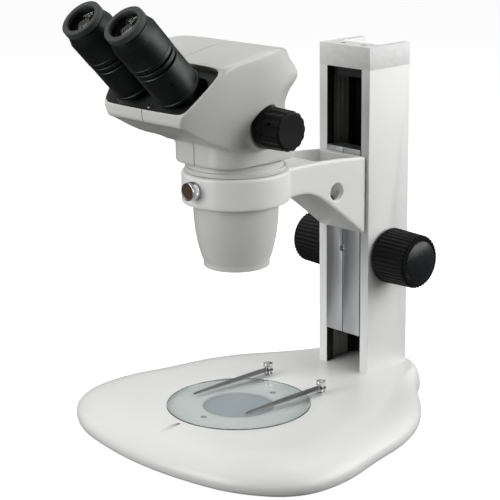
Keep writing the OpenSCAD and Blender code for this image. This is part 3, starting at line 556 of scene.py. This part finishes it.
def base_casting():
    rings = [base_ring(0, 13, 12), base_ring(0, 13, UNDER_Z + 0.5), base_ring(0, 12.5, UNDER_Z)]
    for t in np.radians(np.linspace(0, 90, 8)):
        rings.append(base_ring(0, 3 * (1 - math.sin(t)), RIM_Z - 6 * math.cos(t)))
    for t in np.radians(np.linspace(3, 90, 26)):
        rings.append(base_ring(1 - math.cos(t), 0, RIM_Z + (BASE_TOP - RIM_Z) * math.sin(t)))
    edge, lip = rings[-1], circle_ring(WELL_R + 0.7, BASE_TOP)
    for t in (0.2, 0.4, 0.6, 0.8, 1):
        rings.append(edge * (1 - t) + lip * t)
    for radius, z in ((WELL_R + 0.2, BASE_TOP - 0.15), (WELL_R, BASE_TOP - 0.7),
                      (WELL_R, SEAT_Z - LINER_T), (DISC_R, SEAT_Z - LINER_T),
                      (DISC_R, SEAT_Z - LINER_T - DISC_T)):
        rings.append(circle_ring(radius, z))
    obj = loft("base_shell", rings)
    for x, y in COLUMN_BOLTS:
        combine(obj, rod(7, 0, BOSS_TOP, at(x, y, 0)), "UNION")
    sin, cos = math.sin(LOCK_TILT), math.cos(LOCK_TILT)
    groove = axes((0, -PLATE_R - 5, SEAT_Z + 2), (1, 0, 0), (0, sin, cos), (0, -cos, sin))
    cut_away(obj, rod(3, 0, 60, groove, 48))
    cut_away(obj, rod(1.5, -8, 1, groove, 32))
    for side in (-1, 1):
        cut_away(obj, rod(3, 13, 40, at(side * CLIP_X, CLIP_Y, 0), 48))
    for x, y in COLUMN_BOLTS:
        cut_away(obj, rod(5.5, -2, BOSS_TOP - 4, at(x, y, 0), 48))
    return dress(obj, "base_casting", 50)


base_casting()

# ---- head housing ----

# one row per level: z, then half widths at the front, middle and rear, and where the rear wall is
SIDE_LEVELS = [(262, 34, 40, 22, 40), (277, 38, 42, 22, 43), (290, 42, 47, 22, 45), (300, 46, 52, 20, 42),
               (312, 51, 57, 20, 47), (325, 54, 61, 22, 57), (343, 58, 64, 18, 46), (366, 58, 64, 16, 38)]
SIDE_VIEW = [(-103.4, 300), (-103.4, 309), (-104.45, 311.1), (-69.5, 344), (-66, 347.6), (-44, 351),
             (-12, 357.5), (12, 354), (34, 348), (43, 344.5), (47, 339), (60, 325), (59, 318),
             (45, 298), (48, 288), (46, 276), (40, 270), (-40, 270), (-50, 276.5), (-74, 284), (-98, 299)]
OPENING = [(-32, -21), (32, -21), (46, -20), (50, -12), (56, 8), (56, 20), (44, 24),
           (-44, 24), (-56, 20), (-56, 8), (-50, -12), (-46, -20)]
PLATE_W = -6
SEAM = 0.4  # each shell stops this far from the middle plane
HOUSING_WALL = 3.4
CAVITY_CENTRE, CAVITY_SCALE = np.array((-15, 312)), np.array((0.93, 0.925))
NECK_X, NECK_Y, NECK_CORNER_R, NECK_TOP = 78, 95.4, 24, 281
CAVITY_X, CAVITY_Y, CAVITY_CORNER_R, CAVITY_TOP = 72.4, 89.8, 21, 278.4
BOSS_START, BOSS_FACE, BOSS_R = 38, 47.4, 20.4
RECESS_R, SHAFT_CLEARANCE_R = 19.1, 6


def side_outline(front_x, mid_x, rear_x, rear_y, inset):
    """The housing's outline seen from above at one height."""
    half = [(0, -115), (front_x - 12, -114), (front_x + 1, -104),
            (front_x + (mid_x - front_x) * 0.75, -84), (mid_x, -60),
            (mid_x, -6), (rear_x + (mid_x - rear_x) * 0.45, rear_y * 0.62), (rear_x, rear_y), (0, rear_y + 3)]
    half = [(x - inset if x else 0, y - inset if y > 0 else y) for x, y in half]
    return chaikin(mirrored(half), 4)


def level_at(z):
    """The side levels' row at any height, on a smooth curve through them."""
    rows = np.array(SIDE_LEVELS, float)
    i = int(np.clip(np.searchsorted(rows[:, 0], z) - 1, 0, len(rows) - 2))
    before, a, b, after = (rows[np.clip(k, 0, len(rows) - 1)] for k in (i - 1, i, i + 1, i + 2))
    h = b[0] - a[0]
    t = (z - a[0]) / h
    ta = (b - before) / (b[0] - before[0]) * h
    tb = (after - a) / (after[0] - a[0]) * h
    return ((2 * t ** 3 - 3 * t ** 2 + 1) * a + (t ** 3 - 2 * t ** 2 + t) * ta
            + (3 * t ** 2 - 2 * t ** 3) * b + (t ** 3 - t ** 2) * tb)[1:]


def housing_form(inset):
    """The sides' loft, cut to the outline that the housing has seen from the side."""
    rings = []
    for z in np.linspace(262, 366, 36):
        rings.append([(x, y, z) for x, y in side_outline(*level_at(z), inset)])
    form = loft("housing_form", rings)
    outline = chaikin(SIDE_VIEW, 4)
    if inset:
        outline = CAVITY_CENTRE + (outline - CAVITY_CENTRE) * CAVITY_SCALE
    return combine(form, prism("tool", outline, -100, 100, SIDE_ON), "INTERSECT")


def rounded_rectangle(x, y, r):
    corners = [(x / 2, -y / 2, r), (x / 2, y / 2, r), (-x / 2, y / 2, r), (-x / 2, -y / 2, r)]
    return fillet(corners, 12)


def opening(grow):
    """The outline of the opening round the eye tubes, in the plane of the tube plate."""
    return chaikin([(x + math.copysign(grow, x), y + math.copysign(grow, y)) for x, y in OPENING], 4)


def neck(x, y, r, z0, z1, chamfer):
    """A rounded rectangular collar whose lower edge is chamfered."""
    rings = [[(p[0], p[1], z0) for p in rounded_rectangle(x - 2 * chamfer, y - 2 * chamfer, r)],
             [(p[0], p[1], z0 + chamfer) for p in rounded_rectangle(x, y, r)],
             [(p[0], p[1], z1) for p in rounded_rectangle(x, y, r)]]
    return loft("neck", rings)


def housing():
    """Both shells in one: softened outside, then hollowed, so that the cuts inside stay sharp."""
    whole = housing_form(0)
    combine(whole, neck(NECK_X, NECK_Y, NECK_CORNER_R, NECK_Z + 0.05, NECK_TOP, 0.6), "UNION")
    boss = [(0, BOSS_START), (BOSS_R, BOSS_START), (BOSS_R - 0.2, BOSS_FACE), (0, BOSS_FACE)]
    for side in (-1, 1):
        combine(whole, lathe("boss", boss, along_x(side, ZOOM_Y, ZOOM_Z)), "UNION")
    soften(whole, 1.0, 14)
    for side in (-1, 1):
        cut_away(whole, rod(RECESS_R, BOSS_FACE, 90, along_x(side, ZOOM_Y, ZOOM_Z)))
    cut_away(whole, prism("tool", opening(0), PLATE_W - 2, 60, TUBE_FRAME))
    soften(whole, 0.8, 3)
    neck_cavity = rounded_rectangle(CAVITY_X, CAVITY_Y, CAVITY_CORNER_R)
    cut_away(whole, housing_form(HOUSING_WALL), prism("tool", neck_cavity, NECK_Z - 1, CAVITY_TOP),
             prism("tool", opening(-3), -16, 60, TUBE_FRAME),
             rod(SHAFT_CLEARANCE_R, -100, 100, along_x(1, ZOOM_Y, ZOOM_Z)))
    return whole


def half_housing(whole, side):
    """One shell of the pair, cut from the whole at the parting line."""
    node = side_name("housing", side)
    half = bpy.data.objects.new(node + "_shell", whole.data.copy())
    bpy.context.scene.collection.objects.link(half)
    low, high = (SEAM, 100) if side > 0 else (-100, -SEAM)
    combine(half, block((low, -150, 200), (high, 150, 400)), "INTERSECT")
    return dress(half, node, 58)


whole_housing = housing()
half_housing(whole_housing, 1)
half_housing(whole_housing, -1)
bpy.data.objects.remove(whole_housing)

# ---- arm ----

ARM_W, ARM_WALL = 57.4, 4.7
ARM_TOP = 243
CROSS_Y, CROSS_Z = 98.4, 211.5
CROSS_R = 8
RING_R = 47.4
RING_BORE_R = 38
# the arm and its pocket seen from the side, in y and z
ARM_SIDE = [(30, RING_BOTTOM - 1.5), (52, RING_BOTTOM - 0.5), (64, RING_BOTTOM - 1.4),
            (76, 210.5), (90, 200.6), (112, 183.8), (137, 164.5),
            (137, ARM_TOP - 4.6), (100, ARM_TOP - 1.2), (72, ARM_TOP), (30, ARM_TOP)]
POCKET_SIDE = [(76, 216.2), (86, 210.2), (112, 190.2), (130, 177.7), (130, 260), (76, 260)]


def arm():
    obj = lathe("arm_body", [(0, RING_BOTTOM), (RING_R, RING_BOTTOM), (RING_R, RING_TOP), (0, RING_TOP)])
    web = prism("web", ARM_SIDE, -ARM_W / 2, ARM_W / 2, SIDE_ON)
    combine(obj, web, "UNION")
    to_front = axes((0, -RING_R + 3, CLAMP_Z), (1, 0, 0), (0, 0, 1), (0, -1, 0))
    combine(obj, rod(7, 0, 4.2, to_front), "UNION")
    soften(obj, 1.0, 12)
    pocket_x = ARM_W / 2 - ARM_WALL
    cut_away(obj, prism("tool", POCKET_SIDE, -pocket_x, pocket_x, SIDE_ON),
             rod(CROSS_R, -60, 60, along_x(1, CROSS_Y, CROSS_Z)), rod(RING_BORE_R, 200, 260))
    soften(obj, 0.8, 2)
    cut_away(obj, rod(RING_BORE_R, 200, 260, UPRIGHT, 192))
    return dress(obj, "arm", 58)


arm()

# ---- head barrel, bell and objective ----


BELL_LOW_R, BELL_TOP_R, BELL_BORE_R = 28.4, 37.7, 25.1


def bell_r(t):
    """The bell's outer radius a part t of the way up it."""
    return BELL_LOW_R + (BELL_TOP_R - BELL_LOW_R) * np.sin(np.radians(90 * t ** 0.74))


def bell():
    top, low = RING_BOTTOM - 0.1, BELL_Z + 4
    t = np.linspace(0, 1, 40)
    outer = [(bell_r(k), low + (top - low) * k) for k in t]
    inner = [(min(34.05, bell_r(k) - 3), low + (top - low) * k) for k in t[:0:-1]]
    lip = fillet([(BELL_BORE_R, BELL_Z, 0.4), (29.2, BELL_Z, 0.8), (29.2, low, 0.7), outer[1]])[:-1]
    profile = [*lip, *outer[1:], *inner, (BELL_BORE_R, low + 3)]
    return dress(lathe("bell_shell", profile, segments=192), "bell")


def barrel():
    flange = RING_TOP + 0.4
    profile = fillet([(33, RING_BOTTOM - 10), (34, RING_BOTTOM - 10), (34, RING_BOTTOM + 0.2),
                      (BARREL_R, RING_BOTTOM + 0.2), (BARREL_R, flange), (44.4, flange, 0.5),
                      (44.4, flange + 3.6, 0.8), (42.2, flange + 4, 0.4), (42.2, NECK_Z), (33, NECK_Z)])
    return dress(lathe("barrel_turned", profile, segments=192), "head_barrel")


def objective_ring():
    low, high = BELL_Z + 0.3, BELL_Z + 6.5
    profile = fillet([(23.6, low, 0.5), (25, low, 0.3), (25, high), (23.6, high)])
    return dress(lathe("objective_ring_turned", profile), "objective_ring")


bell()
barrel()
objective_ring()

# ---- head clamp screw ----


CLAMP_FACE = 17.8


def knurled(r, h, a):
    return r - 0.3 * abs(math.sin(24 * a)) if r > 7.5 and 12.2 < h < 17.4 else r


def clamp_screw():
    """A knurled thumb screw with a brown face set in its bright rim."""
    to_front = axes((0, -BARREL_R - 0.1, CLAMP_Z), (1, 0, 0), (0, 0, 1), (0, -1, 0))
    profile = fillet([(0, 0), (3, 0), (3, 11), (8, 11, 0.8), (8, 12.2), (8, 12.6), (8, 17), (8, 17.4),
                      (8, 18.4, 0.8), (6.7, 18.4, 0.2), (6.6, CLAMP_FACE), (0, CLAMP_FACE)], 3)
    obj = dress(lathe("clamp_screw_turned", profile, to_front, 288, knurled), "head_clamp_screw")
    obj.data.materials.append(BRONZE)
    face_y = (-BARREL_R - 0.1 - CLAMP_FACE + AXIS_Y) * MM
    for poly in obj.data.polygons:
        if abs(poly.center.y - face_y) < 0.05 * MM:
            poly.material_index = 1
    return obj


clamp_screw()

# ---- zoom knobs ----

FLUTES, FLUTE_R, FLUTE_AT = 14, 4.2, 20.4
COLLAR_R, ZOOM_R = 18.2, 17.2
ZOOM_START, GRIP_START, GRIP_END, ZOOM_END = 48, 52.8, 76, 78
FLUTE_START, FLUTE_RAMP = 56.6, 2.2
SHAFT_R = 4.02
SET_SCREW_DEG, SET_SCREW_AT = 245, 67
MARK_DEG, MARK_AT = 208, 50.8


def fluted(r, h, a):
    """The knob's radius where the hollow flutes are cut into it, which end in a slope near the head."""
    if r < 12:
        return r
    step = 2 * math.pi / FLUTES
    off = abs((a + step / 2) % step - step / 2)
    reach = FLUTE_R ** 2 - (FLUTE_AT * math.sin(off)) ** 2
    if reach <= 0:
        return r
    depth = r - (FLUTE_AT * math.cos(off) - math.sqrt(reach))
    ramp = min(1, max(0, (h - FLUTE_START) / FLUTE_RAMP))
    return r - max(0, depth) * ramp * ramp * (3 - 2 * ramp)


def zoom_knob(side):
    """A fluted knob with a plain collar, a set screw hole and a white index mark on the collar."""
    profile = fillet([(SHAFT_R, ZOOM_START), (17.4, ZOOM_START, 0.3), (COLLAR_R, 48.8, 0.6),
                      (COLLAR_R, 52.6, 0.4), (17.8, GRIP_START)], 4)
    profile += [(17.9 - 0.7 * (h - GRIP_START) / (GRIP_END - GRIP_START), h)
                for h in (53.2, 55, 56.6, 57, 57.4, 57.8, 58.2, 58.8, 61, 64, 68, 72, 75.8)]
    profile += fillet([(ZOOM_R, 75.8), (ZOOM_R, 76.6, 1.2), (15, ZOOM_END, 0.9), (0, ZOOM_END)], 5)[1:-1]
    profile += [(13, 77.9), (0, 77.8), (0, 73), (SHAFT_R, 73)]
    node = side_name("zoom_knob", side)
    shaft = along_x(side, ZOOM_Y, ZOOM_Z)
    obj = lathe(node + "_moulded", profile, shaft, FLUTES * 20, fluted)
    hole = shaft @ turned(SET_SCREW_DEG, "Z") @ at(0, 0, SET_SCREW_AT) @ turned(90, "Y")
    cut_away(obj, rod(1.5, 10, 30, hole, 32))
    dress(obj, node, 34)
    mark = shaft @ turned(MARK_DEG, "Z") @ at(0, 0, MARK_AT) @ turned(90, "Y")
    dot = lathe(node + "_mark", [(0, 17.6), (1.1, 17.6), (1.1, 18.22), (0.9, 18.3), (0, 18.32)], mark, 32)
    dress(dot, node, 34, DOT_WHITE, replace=False)


for side in (-1, 1):
    zoom_knob(side)

# ---- focus knobs ----

RIBS = 40
FOCUS_START = 32.5
FOCUS_FACE = 71
FOCUS_R, FOCUS_TIP_R = 26.2, 25
RIB_START = 35.2
CAP_R = 20.1


def ribbed(r, h, a):
    """Round ribs along the knob's side, which show as beads where they end at its face."""
    if r < 23.2 or h < 35.1:
        return r
    rib = (0.5 - 0.5 * math.cos(RIBS * a)) ** 0.6
    return r - rib * (0.75 if h < FOCUS_FACE - 2.6 else 1.7) * min(1, (h - 35.1) / 0.8)


def focus_knob(side):
    profile = fillet([(SHAFT_R, FOCUS_START), (24.4, FOCUS_START, 0.4), (FOCUS_R, 34.9, 0.6),
                      (FOCUS_R, RIB_START)], 4)[:-1]
    reach = FOCUS_FACE - 2.2 - RIB_START
    profile += [(FOCUS_R + (FOCUS_TIP_R - FOCUS_R) * k, RIB_START + reach * k)
                for k in (0, 0.012, 0.03, 0.1, 0.3, 0.5, 0.7, 0.9, 0.96, 0.985, 1)]
    profile += fillet([(FOCUS_TIP_R, FOCUS_FACE - 2.2), (FOCUS_TIP_R, FOCUS_FACE - 1.4, 1.2),
                       (23.2, FOCUS_FACE, 1.2), (20.2, FOCUS_FACE, 0.4), (20.2, FOCUS_FACE - 2)], 5)[1:]
    profile += [(SHAFT_R, FOCUS_FACE - 2)]
    node = side_name("focus_knob", side)
    obj = lathe(node + "_moulded", profile, along_x(side, FOCUS_Y, FOCUS_Z), RIBS * 12, ribbed)
    return dress(obj, node, 34)


def focus_caps():
    """The two domed caps that close the focus knobs, one piece in the record."""
    dome = [(r, FOCUS_FACE + 3.95 - 3.2 * (r / 19.4) ** 2.4) for r in (19.4, 18.6, 17, 15, 12.5, 10, 7, 4, 0)]
    profile = [(0, FOCUS_FACE - 1.95), (CAP_R, FOCUS_FACE - 1.95), (CAP_R, FOCUS_FACE - 0.2), *dome]
    caps = [lathe("cap", profile, along_x(side, FOCUS_Y, FOCUS_Z)) for side in (-1, 1)]
    return dress(joined("focus_caps_moulded", caps), "focus_knob_caps", 30)


for side in (-1, 1):
    focus_knob(side)
focus_caps()

# ---- eye tubes: each outline is (radius, height along the tube, corner radius) ----

TUBE_R, TUBE_END = 19.95, 34.3
SLEEVE_R, SLEEVE_BORE_R, SLEEVE_END = 16, 15, 43
SPIGOT_R, LIGHT_R = 13.6, 11.6


def eye_tube(side):
    profile = fillet([(LIGHT_R, -10), (SPIGOT_R, -10), (SPIGOT_R, 0.4), (20, 0.4, 0.3), (20.6, 1, 0.4),
                      (20.6, 3.2, 0.5), (TUBE_R, 3.9, 0.4), (TUBE_R, 33.6, 0.4), (19.3, TUBE_END, 0.3),
                      (SLEEVE_R, TUBE_END), (SLEEVE_R, SLEEVE_END), (SLEEVE_BORE_R, SLEEVE_END),
                      (SLEEVE_BORE_R, 8), (LIGHT_R, 8)], 4)
    obj = lathe(side_name("tube", side) + "_turned", profile, at_tube(side), 192)
    hole = at_tube(side) @ turned(-30, "Z") @ at(0, 0, 21) @ turned(90, "Y")
    cut_away(obj, rod(1.1, 17.5, 24, hole, 32))
    return dress(obj, side_name("tube", side), 34)


def diopter_ring(side):
    bore_r, low, high = SLEEVE_R + 0.05, 36, 40
    profile = fillet([(bore_r, low), (19.5, low, 0.2), (20, low + 0.6, 0.3), (20, high - 0.6, 0.3),
                      (19.5, high, 0.2), (bore_r, high)], 4)
    return dress(lathe(side_name("diopter", side) + "_turned", profile, at_tube(side), 192),
                 side_name("diopter_ring", side), 34)


def eyepiece(side):
    profile = fillet([(12, 14), (14.95, 14), (14.95, 44.6), (16.35, 44.6), (16.35, 41.6), (19.6, 41.6, 0.2),
                      (20.2, 42.2, 0.3), (20.2, 45.5, 0.2), (19.85, 45.8, 0.1), (19.85, 46.1, 0.1),
                      (20.2, 46.4, 0.2), (20.3, 65.6, 0.6), (17.5, 74.2, 0.3), (16.7, 74.4, 0.2), (16.7, 77),
                      (14.2, 77), (14.2, 68), (12, 68)], 4)
    return dress(lathe(side_name("eyepiece", side) + "_turned", profile, at_tube(side), 192),
                 side_name("eyepiece", side), 30)


def eye_lens(side):
    front = [(14.1 * k / 12, 72.8 + 2 * (1 - (k / 12) ** 2)) for k in range(13)]
    back = [(14.1 * k / 12, 70.2 - 2 * (1 - (k / 12) ** 2)) for k in range(12, -1, -1)]
    return dress(lathe(side_name("lens", side) + "_ground", front + back, at_tube(side), 96),
                 side_name("eye_lens", side), 40)


def eyecup(side):
    profile = fillet([(16.75, 75.4), (18.3, 75.4, 0.4), (18.2, 78, 1), (18.1, 80.9, 0.9),
                      (13.9, 80.9, 0.7), (13.2, 80, 0.5), (13.2, 77.2), (16.75, 77.2)], 5)
    return dress(lathe(side_name("eyecup", side) + "_moulded", profile, at_tube(side), 160),
                 side_name("eyecup", side), 40)


for side in (-1, 1):
    for build in (eye_tube, diopter_ring, eyepiece, eye_lens, eyecup):
        build(side)

# ---- stage ----


def stage_glass():
    low, high = SEAT_Z, SEAT_Z + 5
    profile = fillet([(0, low), (PLATE_R, low, 0.5), (PLATE_R, high, 0.5), (0, high)], 3)
    obj = dress(lathe("stage_glass_ground", profile, segments=192), "stage_glass", 30)
    obj.data.materials.append(GLASS_EDGE)
    for poly in obj.data.polygons:
        if abs(poly.normal.z) < 0.9:
            poly.material_index = 1
        else:
            poly.use_smooth = False
    return obj


stage_glass().visible_shadow = False

# ---- pieces that keep their CAD shape, with broken edges ----


CHANNEL_HALF_X, CHANNEL_BACK_Y = 27.2, 183
SLOT_HALF_X, SLOT_BACK_Y = 21.75, 138.95


def paint_slot_shade_black(obj):
    """Paints the inner faces of the column's slot and channel black, as painted shade in the channel."""
    obj.data.materials.append(LINER_SHADE_BLACK)
    for poly in obj.data.polygons:
        x, y, z = poly.center / MM
        y -= AXIS_Y
        inside = abs(x) < CHANNEL_HALF_X and y < CHANNEL_BACK_Y and z > BASE_TOP + 0.5
        sideways = abs(poly.normal.x) > 0.9 or poly.normal.y > 0.9
        if inside and sideways and (y > SLOT_BACK_Y or abs(x) < SLOT_HALF_X):
            poly.material_index = 1


EDGE_WIDTHS = {"column": 0.9, "column_cap": 1.2, "carriage": 0.35, "stop_block": 0.4, "tube_plate": 0.3,
               "rubber_feet": 0.5, "stage_liner": 0.25, "stage_disc": 0.2, "clip_posts": 0.2,
               "carriage_screws": 0.3, "stop_screw": 0.12, "plate_screw": 0.3, "cap_screws": 0.2,
               "base_screws": 0.15, "base_cover": 0.3, "clip_left": 0.12, "clip_right": 0.12,
               "clip_screw_left": 0.15, "clip_screw_right": 0.15, "guide_rails": 0.1}

for node, width in EDGE_WIDTHS.items():
    finished = dress(from_cad(node + "_finished", node, width), node, 30)
    if node == "column":
        # painted shade: the column's slot and channel faces are coloured black
        paint_slot_shade_black(finished)

# the pieces that nothing here stands for are shown as the CAD made them
for node, obj in frame["nodes"].items():
    if not obj.hide_render:
        obj.data.materials.clear()
        obj.data.materials.append(SLOT_MATERIAL[SLOT_OF[node]])

# ---- camera, floor and light ----

CAMERA_AT = (0.98732, -0.93849, 0.54116)
CAMERA_TURN, CAMERA_DIP, CAMERA_ROLL = 46.71, 15.39, -0.68
LENS_MM = 113.5
FLOOR_REACH_M = 6
FLOOR_GLOW = 0.93
WORLD_STRENGTH = 0.08
LIT_POINT = Vector((0, 0, 0.2))
BOX_DISTANCE, BOX_SIZE = 1.5, 1.0
# each softbox: turn about the object from the camera's side and rise, in degrees, then power in watts
SOFTBOXES = {
    "left_box": (-60, 18, 11), "low_left_box": (-60, 2, 4.5), "left_high_box": (-90, 55, 5.4),
    "right_box": (90, 18, 11), "right_front_box": (60, 18, 8.5), "right_high_box": (90, 55, 2.6),
    "rear_left_box": (-165, 55, 3.6), "rear_right_box": (165, 55, 3.4),
    "low_rear_left_box": (-120, 18, 2.2), "low_rear_right_box": (120, 18, 3.2),
    "low_rear_box": (-165, 18, 1.3),
}


def camera():
    turn, dip, roll = (math.radians(v) for v in (CAMERA_TURN, CAMERA_DIP, CAMERA_ROLL))
    look = Vector((-math.sin(turn) * math.cos(dip), math.cos(turn) * math.cos(dip), -math.sin(dip)))
    right = Vector((math.cos(turn), math.sin(turn), 0))
    up = right.cross(look)
    x = right * math.cos(roll) + up * math.sin(roll)
    y = up * math.cos(roll) - right * math.sin(roll)
    data = bpy.data.cameras.new("camera")
    data.lens = LENS_MM
    data.clip_start, data.clip_end = 0.05, 20
    obj = bpy.data.objects.new("camera", data)
    m = Matrix((x, y, -look)).transposed().to_4x4()
    m.translation = Vector(CAMERA_AT)
    obj.matrix_world = m
    bpy.context.scene.collection.objects.link(obj)
    bpy.context.scene.camera = obj


def softbox(name, turn_deg, rise_deg, power):
    """A square area light that looks at the object."""
    heading = math.radians(CAMERA_TURN + turn_deg)
    rise = math.radians(rise_deg)
    out = Vector((math.sin(heading) * math.cos(rise), -math.cos(heading) * math.cos(rise), math.sin(rise)))
    data = bpy.data.lights.new(name, "AREA")
    data.shape = "RECTANGLE"
    data.size = data.size_y = BOX_SIZE
    data.energy = power
    obj = bpy.data.objects.new(name, data)
    obj.location = LIT_POINT + out * BOX_DISTANCE
    obj.rotation_mode = "QUATERNION"
    obj.rotation_quaternion = (-out).to_track_quat("-Z", "Y")
    bpy.context.scene.collection.objects.link(obj)


def floor():
    reach = FLOOR_REACH_M / MM
    corners = [(-reach, -reach, 0), (reach, -reach, 0), (reach, reach, 0), (-reach, reach, 0)]
    obj = make("floor", corners, [[0, 1, 2, 3]])
    s = Shader("floor_paper", (0.30, 0.30, 0.30), 0.9).vary_colour(200, 0.004)
    s.set(Emission_Color=(1, 1, 1, 1), Emission_Strength=FLOOR_GLOW)
    obj.data.materials.append(s.mat)
    obj.visible_diffuse = False
    obj.visible_glossy = False


def world():
    w = bpy.data.worlds.new("studio")
    w.use_nodes = True
    background = next(n for n in w.node_tree.nodes if n.type == "BACKGROUND")
    background.inputs["Color"].default_value = (1, 1, 1, 1)
    background.inputs["Strength"].default_value = WORLD_STRENGTH
    bpy.context.scene.world = w


camera()
floor()
world()
for name, (turn, rise, power) in SOFTBOXES.items():
    softbox(name, turn, rise, power)

bpy.context.scene.view_settings.view_transform = "Standard"
